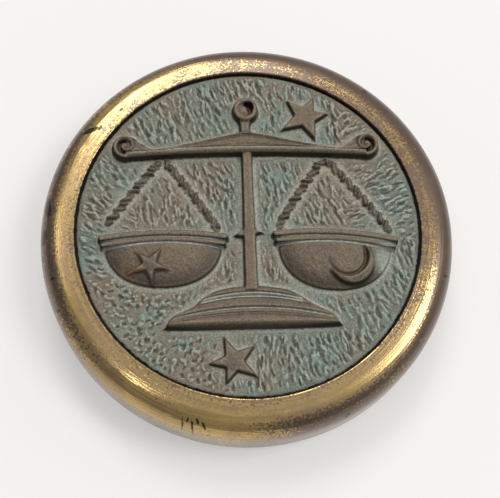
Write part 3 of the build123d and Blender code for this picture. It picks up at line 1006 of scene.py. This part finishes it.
def brass():
    """Old brass: golden where it is rubbed, speckled brown-purple tarnish where it is not."""
    s = Shader("rim_brass")
    cover, reach = s.read("cover"), s.axis_distance()
    _, _, z = s.coordinates()
    broad = s.noise(48, 3, 0.6, 0.8)
    patch = s.noise(210, 5, 0.7, 0.5)
    speck = s.noise(1700, 4, 0.75)
    fine = s.noise(5200, 2, 0.6)
    # lines left by turning run round the ring and drift a little
    drift = s.times(s.noise(30, 2, 0.5), 4 * MM)
    lines = s.noise(1500, 3, 0.65, place=s.vector(reach, z, drift))
    gold = s.mix(patch, colour(0.54, 0.36, 0.125), colour(0.76, 0.53, 0.20))
    tan = s.mix(patch, colour(0.25, 0.17, 0.085), colour(0.42, 0.30, 0.16))
    base = s.mix(s.spread(broad, 0.36, 0.66, 0.0, 0.75), gold, tan)
    base = s.mix(s.spread(lines, 0.42, 0.60, 0.0, 0.6), base, tan)
    # fine tan speckle beside the bore, where the tarnish is thin
    speckled = s.times(s.spread(reach, 45.5 * MM, 43.5 * MM), s.spread(speck, 0.40, 0.56, 0.35, 0.95))
    speckled = s.times(speckled, s.spread(cover, 0.38, 0.22))
    base = s.mix(speckled, base, s.mix(patch, colour(0.27, 0.18, 0.09), colour(0.46, 0.33, 0.18)))
    # tarnish, lighter on the wall than on the shoulder
    brown = s.mix(patch, colour(0.075, 0.048, 0.035), colour(0.165, 0.115, 0.09))
    brown_low = s.mix(patch, colour(0.13, 0.095, 0.07), colour(0.36, 0.28, 0.20))
    brown = s.mix(s.spread(z, 14.5 * MM, 6.0 * MM), brown, brown_low)
    level = s.plus(s.plus(s.times(speck, 0.7), s.times(patch, 0.3)), s.times(cover, 0.42))
    haze = s.spread(level, 0.61, 0.71, 0.0, 0.95)
    base = s.mix(haze, base, brown)
    stain = s.spread(s.plus(s.read("stain"), s.times(speck, 0.5)), 0.72, 0.84)
    base = s.mix(s.times(stain, 0.9), base, colour(0.03, 0.022, 0.018))
    # ragged black band on the land beside the bore, duller and rougher: painted shadow of the gap at the
    # seam
    ragged = s.plus(reach, s.times(s.noise(650, 3, 0.7), 2 * MM))
    seam = s.spread(ragged, (BORE_RADIUS + 1.07) * MM, (BORE_RADIUS + 0.97) * MM)
    seam = s.times(seam, s.spread(z, (RING_TOP - 0.8) * MM, (RING_TOP - 0.6) * MM, 1.0, 0.95))
    s.put("Base Color", s.mix(seam, base, SEAM_SHADOW_BLACK))
    s.put("Metallic", s.math("SUBTRACT", 1.0, s.times(seam, 0.8)))
    s.put("Coat Weight", s.times(haze, 0.5))
    s.put("Coat Roughness", 0.13)
    rough = s.plus(s.spread(broad, 0.3, 0.7, 0.11, 0.21), s.times(haze, 0.2))
    rough = s.plus(rough, s.times(speckled, 0.12))
    s.put("Roughness", s.plus(rough, s.times(seam, 0.3)))
    pits = s.bump(s.spread(level, 0.55, 0.8), -0.25, 0.1 * MM)
    turned = s.bump(lines, 0.65, 0.12 * MM, pits)
    s.put("Normal", s.bump(fine, 0.10, 0.05 * MM, turned))
    return s.material


def plain_metal(name, dark, light, metallic, roughness, scale):
    """Steel or iron, mottled between two colours and faintly grained."""
    s = Shader(name)
    mottle = s.noise(scale, 5, 0.6)
    grain = s.noise(scale * 9, 3, 0.6)
    s.put("Base Color", s.mix(mottle, dark, light))
    s.put("Metallic", metallic)
    s.put("Roughness", s.spread(grain, 0.2, 0.8, roughness - 0.08, roughness + 0.1))
    s.put("Normal", s.bump(grain, 0.2, 0.1 * MM))
    return s.material


def soft_stuff(name, dark, light, scale, strength):
    """Felt, cork or mastic: matt, mottled between two colours, with a bumpy fine grain."""
    s = Shader(name)
    mottle = s.noise(scale, 6, 0.7)
    grain = s.noise(scale * 7, 4, 0.7)
    s.put("Base Color", s.mix(mottle, dark, light))
    s.put("Roughness", s.spread(grain, 0.2, 0.8, 0.8, 0.98))
    s.put("Normal", s.bump(grain, strength, 0.3 * MM))
    return s.material


def dress(piece, material):
    """Gives a piece one material all over."""
    piece.data.materials.clear()
    piece.data.materials.append(material)


plaque = make_plaque()
bronze_material = bronze()
dress(plaque, bronze_material)
bosses = [make_boss(number, bearing) for number, bearing in enumerate(SCREW_ANGLES, start=1)]
for piece in [plaque, *bosses]:
    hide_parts("relief_plaque")
    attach(piece, "root")
for boss in bosses:
    dress(boss, bronze_material)

ring = lathe("rim_ring_brass", ring_profile(), RING_SEGMENTS, ring_wear)
ring_masks(ring)
dress(ring, brass())
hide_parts("rim_ring")
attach(ring, "root")

felt = lathe("felt_pad_pressed", felt_profile(), FELT_SEGMENTS, felt_fuzz)
dress(felt, soft_stuff("pad_felt", colour(0.012, 0.045, 0.025), colour(0.03, 0.085, 0.05), 900, 0.8))
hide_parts("felt_pad")
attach(felt, "root")

# the numbers are metallic share, roughness and mottle scale, or mottle scale and bump strength
steel = plain_metal("base_steel", colour(0.34, 0.33, 0.31), colour(0.52, 0.51, 0.49), 1.0, 0.42, 260)
screw_steel = plain_metal("screw_steel", colour(0.36, 0.35, 0.33), colour(0.6, 0.58, 0.54), 1.0, 0.32, 700)
iron = plain_metal("ballast_iron", colour(0.035, 0.032, 0.03), colour(0.10, 0.085, 0.075), 0.8, 0.6, 420)
cork = soft_stuff("packing_cork", colour(0.26, 0.15, 0.07), colour(0.50, 0.33, 0.18), 700, 0.6)
mastic = soft_stuff("bedding_mastic", colour(0.006, 0.005, 0.005), colour(0.02, 0.017, 0.015), 1500, 0.5)
NODE_MATERIALS = {
    "base_plate": steel,
    "ballast_disc": iron,
    "packing_disc": cork,
    "seam_bedding": mastic,
}
for number in range(1, len(SCREW_ANGLES) + 1):
    NODE_MATERIALS[f"base_screw_{number}"] = screw_steel
for node, material in NODE_MATERIALS.items():
    dress(bpy.data.objects[node], material)


# ---- floor, light and camera ----
FLOOR_HALF_SIDE = 5000.0
FLOOR_LEVEL = -0.02


def make_floor():
    """Plain pale floor, a hair under the object."""
    corners = ((-1, -1), (1, -1), (1, 1), (-1, 1))
    points = [(x * FLOOR_HALF_SIDE, y * FLOOR_HALF_SIDE, FLOOR_LEVEL) for x, y in corners]
    floor = make_object("floor", points, [[0, 1, 2, 3]], smooth=False)
    s = Shader("floor_pale")
    cloud = s.noise(5, 2, 0.5)
    weave = s.noise(2600, 2, 0.6)
    s.put("Base Color", s.mix(cloud, colour(0.55, 0.54, 0.53), colour(0.62, 0.61, 0.60)))
    s.put("Emission Color", colour(1.0, 0.98, 0.965))
    s.put("Emission Strength", 0.34)
    s.put("Roughness", 0.9)
    s.put("Normal", s.bump(weave, 0.12, 0.2 * MM))
    dress(floor, s.material)


LIGHT_DISTANCE = 1.3  # metres
LIGHTS = (  # name, bearing and elevation in degrees, side in metres, watts, tint
    ("window_right", 6, 56, 0.45, 4.8, (1.0, 0.985, 0.96)),
    ("window_top", 96, 53, 0.46, 4.4, (1.0, 0.985, 0.95)),
    ("window_left", 145, 57, 0.24, 0.5, (1.0, 0.95, 0.86)),
    ("lamp_left", -163, 73, 0.12, 0.45, (1.0, 0.98, 0.95)),
)


def add_light(name, bearing, elevation, size, power, tint):
    """Square soft light aimed at the object from a bearing and elevation."""
    data = bpy.data.lights.new(name, "AREA")
    data.shape = "SQUARE"
    data.size = size
    data.energy = power
    data.color = tint
    light = bpy.data.objects.new(name, data)
    turn, rise = math.radians(bearing), math.radians(elevation)
    light.location = (
        LIGHT_DISTANCE * math.cos(rise) * math.cos(turn),
        LIGHT_DISTANCE * math.cos(rise) * math.sin(turn),
        LIGHT_DISTANCE * math.sin(rise),
    )
    light.rotation_euler = (0.5 * math.pi - rise, 0, 0.5 * math.pi + turn)
    bpy.context.scene.collection.objects.link(light)


BRIGHT_SIDE = (0.60, 0.52, 0.61)
SKY_COLOUR = colour(0.95, 0.965, 1.0)
SKY_FADE = {"From Min": -0.1, "From Max": 1.0, "To Min": 0.34, "To Max": 0.74}


def make_world():
    """Soft daylight, strongest from the bright side and dim opposite it."""
    world = bpy.data.worlds.new("studio")
    world.use_nodes = True
    tree = world.node_tree
    sky = tree.nodes["Background"]
    place = tree.nodes.new("ShaderNodeTexCoord").outputs["Generated"]
    towards = tree.nodes.new("ShaderNodeVectorMath")
    towards.operation = "DOT_PRODUCT"
    towards.inputs[1].default_value = BRIGHT_SIDE
    fade = tree.nodes.new("ShaderNodeMapRange")
    fade.interpolation_type = "SMOOTHSTEP"
    for name, value in SKY_FADE.items():
        fade.inputs[name].default_value = value
    tree.links.new(place, towards.inputs[0])
    tree.links.new(towards.outputs["Value"], fade.inputs["Value"])
    tree.links.new(fade.outputs["Result"], sky.inputs["Strength"])
    sky.inputs["Color"].default_value = SKY_COLOUR
    bpy.context.scene.world = world


CAMERA_PLACE = (-12.357, -80.75, 226.927)
CAMERA_TURN = (19.668, -2.66, -1.963)  # degrees
CAMERA_LENS = 68.4
SENSOR_WIDTH = 36.0


def make_camera():
    """Camera at the photo's angle and distance."""
    data = bpy.data.cameras.new("camera")
    data.sensor_width = SENSOR_WIDTH
    data.lens = CAMERA_LENS
    data.clip_start = 0.01
    camera = bpy.data.objects.new("camera", data)
    camera.location = [value * MM for value in CAMERA_PLACE]
    camera.rotation_euler = [math.radians(value) for value in CAMERA_TURN]
    bpy.context.scene.collection.objects.link(camera)
    bpy.context.scene.camera = camera


make_floor()
for light in LIGHTS:
    add_light(*light)
make_world()
make_camera()
bpy.context.scene.view_settings.view_transform = "Standard"

bpy.context.view_layer.update()
